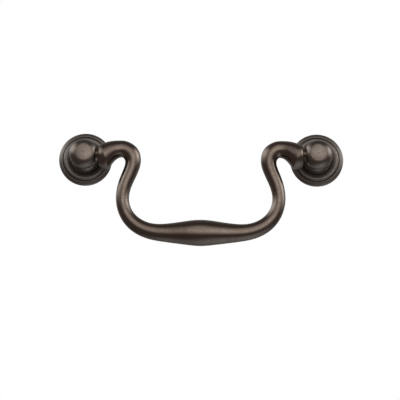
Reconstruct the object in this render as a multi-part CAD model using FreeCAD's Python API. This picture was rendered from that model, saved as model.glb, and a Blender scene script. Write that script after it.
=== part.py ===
import FreeCAD, Part
import math
import os

# Bail pull for a drawer or a cupboard door, in millimetres.
# X runs along the width, +Z is up and the drawer face is the plane y = 0.
# The front of the pull faces -Y. The origin lies midway between the two fixing holes.

# Overall layout: the pivot height is measured off the drawer face
FIXING_CENTRES = 96.0
PIVOT_HEIGHT = 12.3
BAIL_DROP = 32.75

# Rosette, from its edge inwards: sloping rounded rim, quirk, raised bead, and a dish that
# falls to the flat seat of the post. The shares are of the width from the seat to the edge.
ROSETTE_RADIUS = 11.0
EDGE_HEIGHT = 0.6
RIM_SHARE = 0.3
RIM_HEIGHT = 1.8
RIM_BULGE = 0.2
QUIRK_SHARE = 0.055
QUIRK_DEPTH = 0.3
BEAD_SHARE = 0.2
BEAD_RISE = 1.15
SEAT_HEIGHT = 1.4
SEAT_MARGIN = 0.3
# Slope of the dish against the slope of the straight way from the seat to the crest
DISH_STEEPNESS = 1.35

# Ring cast hollow in the back of the rosette, between the hub and the rim
HUB_LAND_RADIUS = 6.0
RIM_LAND_WIDTH = 1.2
RELIEF_DEPTH = 0.6
RELIEF_DRAFT = 0.2

# Post
SHANK_RADIUS = 3.0
SHANK_CLEARANCE = 0.05
COLLAR_RADIUS = 5.5
COLLAR_FOOT_RADIUS = 5.25
COLLAR_EDGE_RADIUS = 5.35
COLLAR_EDGE_HEIGHT = 0.75
NECK_ROOT_RADIUS = 4.35
NECK_ROOT_HEIGHT = 1.95
NECK_WAIST_RADIUS = 3.9
BALL_RADIUS = 6.0
BALL_SIDE_ROUND = 3.69
BALL_CAP_ANGLE = 11.0
BALL_BACK_ANGLE = 50.0
FACET_DEPTH = 1.2

# Tapping bore for an M4 machine screw, from the back of the post
SCREW_BORE_RADIUS = 1.65
SCREW_BORE_POINT = 1.0
SCREW_BORE_CHAMFER = 0.35
BORE_END_WALL = 1.25

# Pivot between bail and post
SPIGOT_RADIUS = 2.0
SPIGOT_CHAMFER = 0.3
SPIGOT_END_FLOAT = 0.8
PIVOT_CLEARANCE = 0.05
PIVOT_HOLE_DEPTH = 5.5
BAIL_SIDE_GAP = 1.5

# Bail: thickest radius of the grip, reach of the loops in from the heads, radius of the heads
GRIP_RADIUS = 5.34
LOOP_REACH = 13.95
HEAD_RADIUS = 5.35

# Grip, from its middle: share of the way to the bend, share of the drop, share of its radius
GRIP = [
    (0.0, 1.0, 1.0),
    (0.21, 1.0, 0.946),
    (0.41, 1.002, 0.843),
    (0.61, 1.002, 0.743),
    (0.81, 0.997, 0.661),
]
# Bend, leg and loop: share of the reach, share of the drop, share of the grip's radius
LEG = [
    (1.513, 0.9785, 0.614),
    (1.068, 0.887, 0.567),
    (0.824, 0.765, 0.524),
    (0.7025, 0.562, 0.504),
    (0.799, 0.357, 0.539),
    (0.953, 0.1954, 0.569),
    (1.0, 0.0885, 0.603),
    (0.914, -0.0122, 0.648),
    (0.724, -0.0595, 0.648),
]
# Neck: share of the reach, share of the drop, share of the head's radius, lean in degrees
NECK = [
    (0.595, -0.0597, 0.665, 1.0),
    (0.4265, -0.0375, 0.774, 7.0),
    (0.294, -0.0045, 0.89, 13.0),
]

# Domed end of the head, cut off flat where it faces the post
HEAD_INSET = 3.1
HEAD_SINK = 0.8
HEAD_LEAN = 17.0
HEAD_MOUTH_OFFSET = 0.84
HEAD_RIM_ROUND = 0.35

V = FreeCAD.Vector
FRONT = V(0, -1, 0)
END_FACE = FIXING_CENTRES / 2 - BALL_RADIUS + FACET_DEPTH - BAIL_SIDE_GAP
PIVOT_HOLE_RADIUS = SPIGOT_RADIUS + PIVOT_CLEARANCE
TOLERANCE = 1e-6


def at(radius, height):
    """Point of a turned outline: distance from the post axis and height off the face."""
    return V(radius, -height, 0)


def line(a, b):
    return Part.LineSegment(a, b).toShape()


def arc(a, through, b):
    return Part.Arc(a, through, b).toShape()


def lines(points):
    return [line(a, b) for a, b in zip(points, points[1:])]


def turned(edges):
    """Solid of revolution about the post axis."""
    return Part.Face(Part.Wire(edges)).revolve(V(0, 0, 0), FRONT, 360)


def bead_side(crest, foot):
    """Arc that starts level at the crest of the bead and falls to its foot on one side."""
    reach = foot.x - crest.x
    fall = foot.y - crest.y
    rounding = (reach ** 2 + fall ** 2) / (2 * fall)
    turn = math.atan2(abs(reach), rounding - fall) / 2
    middle = V(
        crest.x + math.copysign(rounding * math.sin(turn), reach),
        crest.y + rounding * (1 - math.cos(turn)),
        0,
    )
    return arc(crest, middle, foot)


def rosette():
    hole = SHANK_RADIUS + SHANK_CLEARANCE
    relief_edge = ROSETTE_RADIUS - RIM_LAND_WIDTH
    back = [
        at(hole, SEAT_HEIGHT),
        at(hole, 0),
        at(HUB_LAND_RADIUS, 0),
        at(HUB_LAND_RADIUS + RELIEF_DRAFT, RELIEF_DEPTH),
        at(relief_edge - RELIEF_DRAFT, RELIEF_DEPTH),
        at(relief_edge, 0),
        at(ROSETTE_RADIUS, 0),
        at(ROSETTE_RADIUS, EDGE_HEIGHT),
    ]
    seat = at(COLLAR_RADIUS + SEAT_MARGIN, SEAT_HEIGHT)
    ring = ROSETTE_RADIUS - seat.x
    rim_inner = at(ROSETTE_RADIUS - RIM_SHARE * ring, RIM_HEIGHT)
    chord = rim_inner - back[-1]
    rim_middle = (rim_inner + back[-1]) / 2 + V(-chord.y, chord.x, 0).normalize() * RIM_BULGE
    quirk = at(rim_inner.x - QUIRK_SHARE * ring, RIM_HEIGHT - QUIRK_DEPTH)
    crest = at(quirk.x - BEAD_SHARE * ring, SEAT_HEIGHT + BEAD_RISE)
    # The inner side of the bead is rounded until it has the slope of the dish.
    run = crest.x - seat.x
    slope = DISH_STEEPNESS * math.atan2(BEAD_RISE, run)
    rounding = (run - BEAD_RISE / math.tan(slope)) / math.tan(slope / 2)
    dish_top = at(
        crest.x - rounding * math.sin(slope),
        SEAT_HEIGHT + BEAD_RISE - rounding * (1 - math.cos(slope)),
    )
    front = [
        arc(back[-1], rim_middle, rim_inner),
        line(rim_inner, quirk),
        bead_side(crest, quirk),
        bead_side(crest, dish_top),
    ]
    return turned(lines(back) + front + lines([dish_top, seat, back[0]]))


def ball_side(angle):
    """Point on the round side of the ball, by its angle from the pivot height."""
    turn = math.radians(angle)
    return at(
        BALL_RADIUS - BALL_SIDE_ROUND + BALL_SIDE_ROUND * math.cos(turn),
        PIVOT_HEIGHT + BALL_SIDE_ROUND * math.sin(turn),
    )


def post():
    """Turned post standing on the origin, with the pivot hole opening towards -X."""
    bore_end = PIVOT_HEIGHT - PIVOT_HOLE_RADIUS - BORE_END_WALL
    foot = at(COLLAR_FOOT_RADIUS, SEAT_HEIGHT)
    bore_and_shank = [
        at(0, bore_end),
        at(SCREW_BORE_RADIUS, bore_end - SCREW_BORE_POINT),
        at(SCREW_BORE_RADIUS, SCREW_BORE_CHAMFER),
        at(SCREW_BORE_RADIUS + SCREW_BORE_CHAMFER, 0),
        at(SHANK_RADIUS, 0),
        at(SHANK_RADIUS, SEAT_HEIGHT),
        foot,
    ]
    collar_side = at(COLLAR_RADIUS, SEAT_HEIGHT + COLLAR_EDGE_HEIGHT / 2)
    collar_edge = at(COLLAR_EDGE_RADIUS, SEAT_HEIGHT + COLLAR_EDGE_HEIGHT)
    neck_root = at(NECK_ROOT_RADIUS, SEAT_HEIGHT + NECK_ROOT_HEIGHT)
    ball_back = ball_side(-BALL_BACK_ANGLE)
    waist = at(NECK_WAIST_RADIUS, -(neck_root.y + ball_back.y) / 2)
    # The front of the ball is a flat cap of a sphere that runs smoothly into its side.
    shoulder = ball_side(90 - BALL_CAP_ANGLE)
    turn = math.radians(BALL_CAP_ANGLE)
    cap_round = shoulder.x / math.sin(turn)
    cap_centre = -shoulder.y - cap_round * math.cos(turn)
    cap_middle = at(cap_round * math.sin(turn / 2), cap_centre + cap_round * math.cos(turn / 2))
    pole = at(0, cap_centre + cap_round)
    outside = [
        arc(foot, collar_side, collar_edge),
        line(collar_edge, neck_root),
        arc(neck_root, waist, ball_back),
        Part.Arc(ball_back, ball_side(0), shoulder).toBSpline().toShape(),
        arc(shoulder, cap_middle, pole),
        line(pole, bore_and_shank[0]),
    ]
    body = turned(lines(bore_and_shank) + outside)
    # A flat facet faces the bail and the blind pivot hole opens in it.
    facet = BALL_RADIUS - FACET_DEPTH
    block = 2 * BALL_RADIUS
    trimming = Part.makeBox(block, block, block, V(-facet - block, -PIVOT_HEIGHT - block / 2, -block / 2))
    hole = Part.makeCylinder(
        PIVOT_HOLE_RADIUS,
        PIVOT_HOLE_DEPTH + FACET_DEPTH,
        V(-BALL_RADIUS, -PIVOT_HEIGHT, 0),
        V(1, 0, 0),
    )
    return body.cut(trimming).cut(hole).Solids[0]


def spline(points, places):
    """Smooth curve that passes each point at its own place along the length."""
    curve = Part.BSplineCurve()
    curve.interpolate(Points=points, Parameters=places)
    return curve


def rod_stations(mouth, mouth_radius):
    """Centres and radii of the rod from the middle of the grip to the right mouth."""
    bend_start = END_FACE - LOOP_REACH * LEG[0][0]
    centres = [V(bend_start * row[0], 0, -BAIL_DROP * row[1]) for row in GRIP]
    centres += [V(END_FACE - LOOP_REACH * row[0], 0, -BAIL_DROP * row[1]) for row in LEG + NECK]
    radii = [GRIP_RADIUS * row[2] for row in GRIP + LEG] + [HEAD_RADIUS * row[2] for row in NECK]
    return centres + [mouth], radii + [mouth_radius]


def section_ways(centreline, places):
    """Direction that each section of the rod faces, from the left mouth to the right."""
    ways = [centreline.tangent(place)[0] for place in places]
    for row, lean in enumerate([HEAD_LEAN] + [row[3] for row in reversed(NECK)]):
        turn = math.radians(lean)
        ways[row] = V(math.cos(turn), 0, math.sin(turn))
        ways[-1 - row] = V(math.cos(turn), 0, -math.sin(turn))
    return ways


def rod(mouth, mouth_radius):
    """Round bar of changing radius along the whole bail, from mouth to mouth.

    Its skin is one smooth surface with a circular section at every station.
    """
    right, right_radii = rod_stations(mouth, mouth_radius)
    centres = [V(-centre.x, 0, centre.z) for centre in right[:0:-1]] + right
    radii = right_radii[:0:-1] + right_radii
    places = [0.0]
    for a, b in zip(centres, centres[1:]):
        places.append(places[-1] + a.distanceToPoint(b))
    ways = section_ways(spline(centres, places), places)
    # A section reaches out by its radius along Y and by its arm in the plane of the bail.
    # The radius rides as the path's Y value, and the place as the arm's.
    path = spline([V(c.x, radius, c.z) for c, radius in zip(centres, radii)], places)
    arms = spline(
        [V(-way.z * radius, place, way.x * radius) for way, radius, place in zip(ways, radii, places)],
        places,
    )
    # Control points of a unit circle: share of the radius, share of the arm, weight
    half = math.sqrt(0.5)
    circle = [(1, 0, 1), (1, 1, half), (0, 1, 1), (-1, 1, half)]
    circle += [(-side, -up, weight) for side, up, weight in circle] + circle[:1]
    skin = Part.BSplineSurface()
    skin.buildFromPolesMultsKnots(
        [
            [V(p.x + arm.x * up, p.y * side, p.z + arm.z * up) for side, up, weight in circle]
            for p, arm in zip(path.getPoles(), arms.getPoles())
        ],
        path.getMultiplicities(), [3, 2, 2, 2, 3],
        path.getKnots(), [0, 1, 2, 3, 4],
        False, False, path.Degree, 2,
        [[weight for side, up, weight in circle] for pole in path.getPoles()],
    )
    side_face = skin.toShape()
    ends = [Part.Face(Part.Wire([edge])) for edge in side_face.Edges if edge.isClosed()]
    shell = Part.makeShell([side_face] + ends)
    shell.sewShape()
    return Part.Solid(shell)


def head_dome(centre, mouth, out):
    """Domed end of the right head, rounded where its flat end meets the dome."""
    reach = 4 * HEAD_RADIUS
    dome = Part.makeSphere(HEAD_RADIUS, centre).common(Part.makeCylinder(reach, reach, mouth, out))
    dome = dome.cut(Part.makeBox(reach, 2 * reach, 2 * reach, V(END_FACE, -reach, -reach)))
    rim = [
        edge for edge in dome.Edges
        if abs(edge.BoundBox.XMin - END_FACE) < TOLERANCE and abs(edge.BoundBox.XMax - END_FACE) < TOLERANCE
    ]
    return dome.makeFillet(HEAD_RIM_ROUND, rim)


def spigot(root):
    """Right-hand pivot pin, from inside the head to its chamfered tip."""
    tip = END_FACE + BAIL_SIDE_GAP + PIVOT_HOLE_DEPTH - SPIGOT_END_FLOAT
    pin = Part.makeCylinder(SPIGOT_RADIUS, tip - root, V(root, 0, 0), V(1, 0, 0))
    end = [edge for edge in pin.Edges if abs(edge.BoundBox.XMin - tip) < TOLERANCE]
    return pin.makeChamfer(SPIGOT_CHAMFER, end)


def bail():
    """One casting: grip, legs, loops, heads and the two spigots."""
    lean = math.radians(HEAD_LEAN)
    out = V(math.cos(lean), 0, -math.sin(lean))
    centre = V(END_FACE - HEAD_INSET, 0, -HEAD_SINK)
    mouth = centre + out * HEAD_MOUTH_OFFSET
    mouth_radius = math.sqrt(HEAD_RADIUS ** 2 - HEAD_MOUTH_OFFSET ** 2)
    bar = rod(mouth, mouth_radius)
    ends = [head_dome(centre, mouth, out), spigot(centre.x)]
    ends += [end.mirror(V(0, 0, 0), V(1, 0, 0)) for end in ends]
    casting = bar.multiFuse(ends).Solids[0]
    casting.translate(V(0, -PIVOT_HEIGHT, 0))
    return casting


os.makedirs("parts", exist_ok=True)
bail().exportStep("parts/bail.step")
for name, shape in (("post", post()), ("rosette", rosette())):
    shape.translate(V(FIXING_CENTRES / 2, 0, 0))
    shape.exportStep("parts/right_" + name + ".step")
    shape.mirror(V(0, 0, 0), V(1, 0, 0)).exportStep("parts/left_" + name + ".step")
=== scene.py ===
import math

import bpy
from mathutils import Matrix, Vector

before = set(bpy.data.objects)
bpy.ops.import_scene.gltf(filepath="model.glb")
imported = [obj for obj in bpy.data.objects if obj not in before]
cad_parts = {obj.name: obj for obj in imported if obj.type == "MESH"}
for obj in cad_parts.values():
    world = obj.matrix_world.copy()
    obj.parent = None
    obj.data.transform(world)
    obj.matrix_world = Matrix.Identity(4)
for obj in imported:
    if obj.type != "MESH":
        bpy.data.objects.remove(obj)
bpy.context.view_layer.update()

MM = 0.001

# The photograph's camera, in metres and degrees. It stands off one point in front of the
# drawer face, below the level of the pull, and looks up past it at another.
CAMERA_DISTANCE = 0.8
CAMERA_ELEVATION = -11.1
CAMERA_AZIMUTH = 0.4
CAMERA_ROLL = 0.3
CAMERA_LENS = 175.5
CAMERA_STANDS_OFF = Vector((0.0, -8.0, -14.0)) * MM
CAMERA_LOOKS_AT = Vector((-0.3, -8.0, -18.3)) * MM

# Pale floor, well below the pull, which is held on a drawer front
FLOOR_DROP = 1.0
FLOOR_SIZE = 12.0
FLOOR_LIGHT = 0.45
FLOOR_ROUGHNESS = 0.9
FLOOR_PALE = "f2f1ee"

# Soft lights around the pull: azimuth from its front towards its right, elevation,
# reach sideways and up and down from the middle, all in degrees, brightness and tint
LIGHTS = (
    (122, -72, 56, 45, 0.48, "f2faff"),
    (125, -2, 45, 25, 0.4, "fcffff"),
    (180, 13, 84, 73, 0.25, "f6fbff"),
    (10, 14, 47, 42, 1.14, "fffdfa"),
    (-92, 31, 63, 29, 1.5, "faffff"),
    (82, 23, 43, 31, 1.95, "fcffff"),
    (-2, 38, 23, 31, 0.68, "fffdfa"),
)
STUDIO_DIM = 0.105
STUDIO_TINT = "ffeae4"
BACKGROUND = "ffffff"
# Keeps the slope of a direction across a light finite at its sides
LEAST_AHEAD = 0.01

# Grain of the casting. Real grain is finer, and is drawn coarse enough here to show.
GRAIN_SIZE = 0.7 * MM
GRAIN_DEPTH = 0.005 * MM
GRAIN_STRENGTH = 0.5
# Broad patches of wear, and their share in the mottle
PATCH_SIZE = 6 * MM
PATCH_SHARE = 0.4
NOISE_DETAIL = 2.0
NOISE_ROUGHNESS = 0.5

# Where each layer of colour starts and where it covers all: rubbed patina by the mottle,
# worn edges with a painted highlight by the metal left behind the surface, recess patina with
# painted shade by the open air before it
RUBBED_SPAN = (0.32, 0.68)
WORN_EDGE_AND_HIGHLIGHT_SPAN = (0.97, 0.7)
RECESS_PATINA_AND_SHADE_SPAN = (0.9, 0.45)
WORN_EDGE_AND_HIGHLIGHT_REACH = 0.6 * MM
RECESS_PATINA_AND_SHADE_REACH = 1.6 * MM
# Span of the mottle over which the sheen goes from its dullest to its sharpest
SHEEN_SPAN = (0.38, 0.62)

# One bronze in three states: patina, rubbed patina, worn edges with painted highlight lines, and
# recess patina with painted shade as colours, then the roughness of its sharpest and of its
# dullest sheen
FINISHES = {
    # Cast and polished by hands: close satin highlights, edges worn smooth, dark hollows of patina
    # and painted shade
    "cast_bronze_handled": ("7e6f66", "94867c", "a2948a", "2b221e", 0.18, 0.26),
    # Turned: softer highlights on the ball, and pale worn metal with painted highlight lines along
    # its sharp edges
    "turned_bronze": ("82756c", "9b9089", "d8cabb", "2b221e", 0.24, 0.32),
    # Cast and seldom touched: dull, greyer and more even down into the rings, with light patina
    # and painted shade there
    "cast_bronze_plate": ("817872", "9b938d", "a2988f", "736a63", 0.40, 0.48),
}
WEARS = {
    "bail": "cast_bronze_handled",
    "post": "turned_bronze",
    "rosette": "cast_bronze_plate",
}

# Places of the inputs A and B and of the result on a Mix node, for numbers and for colours
NUMBER_A, NUMBER_B, NUMBER_OUT = 2, 3, 0
COLOUR_A, COLOUR_B, COLOUR_OUT = 6, 7, 2


def linear(code):
    """Linear colour of an sRGB hex code, with full alpha."""
    levels = [int(code[i:i + 2], 16) / 255 for i in (0, 2, 4)]
    return [c / 12.92 if c <= 0.04045 else ((c + 0.055) / 1.055) ** 2.4 for c in levels] + [1.0]


def add(tree, kind, inputs=None, **settings):
    """Adds a node with its settings; an input takes a value or another node's output."""
    node = tree.nodes.new(kind)
    for name, value in settings.items():
        setattr(node, name, value)
    for socket, value in (inputs or {}).items():
        if isinstance(value, bpy.types.NodeSocket):
            tree.links.new(value, node.inputs[socket])
        else:
            node.inputs[socket].default_value = value
    return node


def direction(azimuth, elevation):
    """Unit vector from the pull, with azimuth 0 straight out from the drawer front."""
    a, e = math.radians(azimuth), math.radians(elevation)
    return Vector((math.sin(a) * math.cos(e), -math.cos(a) * math.cos(e), math.sin(e)))


def patinated_bronze(name, patina, rubbed, bare_edge_and_highlight, recess_patina_and_shade, sharpest, dullest):
    """Cast brass with a dark bronze patina, rubbed to a satin sheen.

    The eye sees broad soft highlights with a fine mottled grain, brown patina kept in the
    recesses and darkened further by painted shade between parts, paler metal where cloths and
    hands rubbed it, and pale worn edges that also paint thin highlight lines.
    """
    material = bpy.data.materials.new(name)
    material.use_nodes = True
    tree = material.node_tree
    shader = tree.nodes["Principled BSDF"]
    shader.inputs["Metallic"].default_value = 1.0
    place = add(tree, "ShaderNodeTexCoord").outputs["Object"]
    grain, patches = [
        add(
            tree,
            "ShaderNodeTexNoise",
            {
                "Vector": place,
                "Scale": 1 / size,
                "Detail": NOISE_DETAIL,
                "Roughness": NOISE_ROUGHNESS,
            },
        ).outputs["Fac"]
        for size in (GRAIN_SIZE, PATCH_SIZE)
    ]
    mottle = add(
        tree,
        "ShaderNodeMix",
        {"Factor": PATCH_SHARE, NUMBER_A: grain, NUMBER_B: patches},
        data_type="FLOAT",
    ).outputs[NUMBER_OUT]
    # Paler colour on convex edges: brass worn bare there, and a painted highlight line along each
    # edge
    worn_edge_and_highlight_mask = add(
        tree,
        "ShaderNodeAmbientOcclusion",
        {"Distance": WORN_EDGE_AND_HIGHLIGHT_REACH},
        inside=True,
        only_local=True,
    ).outputs["AO"]
    # Darker colour where other surfaces close in: patina kept in the hollows, and painted shade
    # between parts such as the head and the ball
    patina_and_painted_shade_mask = add(
        tree, "ShaderNodeAmbientOcclusion", {"Distance": RECESS_PATINA_AND_SHADE_REACH}
    ).outputs["AO"]
    colour = linear(patina)
    for sign, (start, full), layer in (
        (mottle, RUBBED_SPAN, rubbed),
        (worn_edge_and_highlight_mask, WORN_EDGE_AND_HIGHLIGHT_SPAN, bare_edge_and_highlight),
        (patina_and_painted_shade_mask, RECESS_PATINA_AND_SHADE_SPAN, recess_patina_and_shade),
    ):
        share = add(
            tree, "ShaderNodeMapRange", {"Value": sign, "From Min": start, "From Max": full}
        ).outputs["Result"]
        colour = add(
            tree,
            "ShaderNodeMix",
            {"Factor": share, COLOUR_A: colour, COLOUR_B: linear(layer)},
            data_type="RGBA",
        ).outputs[COLOUR_OUT]
    sheen = add(
        tree,
        "ShaderNodeMapRange",
        {
            "Value": mottle,
            "From Min": SHEEN_SPAN[0],
            "From Max": SHEEN_SPAN[1],
            "To Min": dullest,
            "To Max": sharpest,
        },
    ).outputs["Result"]
    bump = add(
        tree,
        "ShaderNodeBump",
        {"Strength": GRAIN_STRENGTH, "Distance": GRAIN_DEPTH, "Height": grain},
    ).outputs["Normal"]
    tree.links.new(colour, shader.inputs["Base Color"])
    tree.links.new(sheen, shader.inputs["Roughness"])
    tree.links.new(bump, shader.inputs["Normal"])
    return material


def glow(tree, way, azimuth, elevation, reach_across, reach_up):
    """Share of a soft light in a direction, full in its middle and nothing at its edges."""
    out = direction(azimuth, elevation)
    right = Vector((0, 0, 1)).cross(out).normalized()
    dots = [
        add(
            tree, "ShaderNodeVectorMath", {0: way, 1: axis}, operation="DOT_PRODUCT"
        ).outputs["Value"]
        for axis in (out, right, out.cross(right))
    ]
    ahead = add(
        tree, "ShaderNodeMath", {0: dots[0], 1: LEAST_AHEAD}, operation="MAXIMUM"
    ).outputs[0]
    share = add(
        tree, "ShaderNodeMath", {0: dots[0], 1: 0.0}, operation="GREATER_THAN"
    ).outputs[0]
    for dot, reach in zip(dots[1:], (reach_across, reach_up)):
        slope = add(tree, "ShaderNodeMath", {0: dot, 1: ahead}, operation="DIVIDE").outputs[0]
        width = add(tree, "ShaderNodeMath", {0: slope}, operation="ABSOLUTE").outputs[0]
        inside = add(
            tree,
            "ShaderNodeMapRange",
            {"Value": width, "From Min": math.tan(math.radians(reach)), "From Max": 0.0},
            interpolation_type="SMOOTHSTEP",
        ).outputs["Result"]
        share = add(tree, "ShaderNodeMath", {0: share, 1: inside}, operation="MULTIPLY").outputs[0]
    return share


def studio():
    """Soft lights all round, seen only in the metal; the camera sees a white ground."""
    world = bpy.data.worlds.new("soft_studio")
    bpy.context.scene.world = world
    world.use_nodes = True
    tree = world.node_tree
    tree.nodes.clear()
    way = add(tree, "ShaderNodeTexCoord").outputs["Generated"]
    light = [STUDIO_DIM * c for c in linear(STUDIO_TINT)]
    for *place, brightness, tint in LIGHTS:
        light = add(
            tree,
            "ShaderNodeMix",
            {
                "Factor": glow(tree, way, *place),
                COLOUR_A: light,
                COLOUR_B: [brightness * c for c in linear(tint)],
            },
            data_type="RGBA",
        ).outputs[COLOUR_OUT]
    lights = add(tree, "ShaderNodeBackground", {"Color": light})
    ground = add(tree, "ShaderNodeBackground", {"Color": linear(BACKGROUND)})
    seen = add(tree, "ShaderNodeLightPath").outputs["Is Camera Ray"]
    mixed = add(
        tree, "ShaderNodeMixShader", {0: seen, 1: lights.outputs[0], 2: ground.outputs[0]}
    )
    add(tree, "ShaderNodeOutputWorld", {"Surface": mixed.outputs[0]})


def floor():
    """Plain pale floor under the drawer front."""
    half = FLOOR_SIZE / 2
    mesh = bpy.data.meshes.new("floor")
    corners = [(-half, -half), (half, -half), (half, half), (-half, half)]
    mesh.from_pydata([(x, y, -FLOOR_DROP) for x, y in corners], [], [(0, 1, 2, 3)])
    plane = bpy.data.objects.new("floor", mesh)
    bpy.context.scene.collection.objects.link(plane)
    material = bpy.data.materials.new("pale_paint")
    material.use_nodes = True
    shader = material.node_tree.nodes["Principled BSDF"]
    shader.inputs["Base Color"].default_value = linear(FLOOR_PALE)
    shader.inputs["Roughness"].default_value = FLOOR_ROUGHNESS
    # A matt paint that glows a little, so that it stays pale in views from above
    shader.inputs["Emission Color"].default_value = linear(FLOOR_PALE)
    shader.inputs["Emission Strength"].default_value = FLOOR_LIGHT
    mesh.materials.append(material)
    plane.visible_glossy = False


def camera():
    """Long lens at the photograph's place, with its slight roll."""
    data = bpy.data.cameras.new("camera")
    data.lens = CAMERA_LENS
    obj = bpy.data.objects.new("camera", data)
    bpy.context.scene.collection.objects.link(obj)
    place = CAMERA_STANDS_OFF + CAMERA_DISTANCE * direction(CAMERA_AZIMUTH, CAMERA_ELEVATION)
    aim = (CAMERA_LOOKS_AT - place).to_track_quat("-Z", "Y").to_matrix()
    roll = Matrix.Rotation(math.radians(CAMERA_ROLL), 3, "Z")
    obj.matrix_world = Matrix.Translation(place) @ (aim @ roll).to_4x4()
    bpy.context.scene.camera = obj


finishes = {name: patinated_bronze(name, *look) for name, look in FINISHES.items()}
for name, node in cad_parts.items():
    for slot in node.material_slots:
        slot.material = finishes[WEARS[name.split("_")[-1]]]
studio()
floor()
camera()
bpy.context.scene.view_settings.view_transform = "Standard"
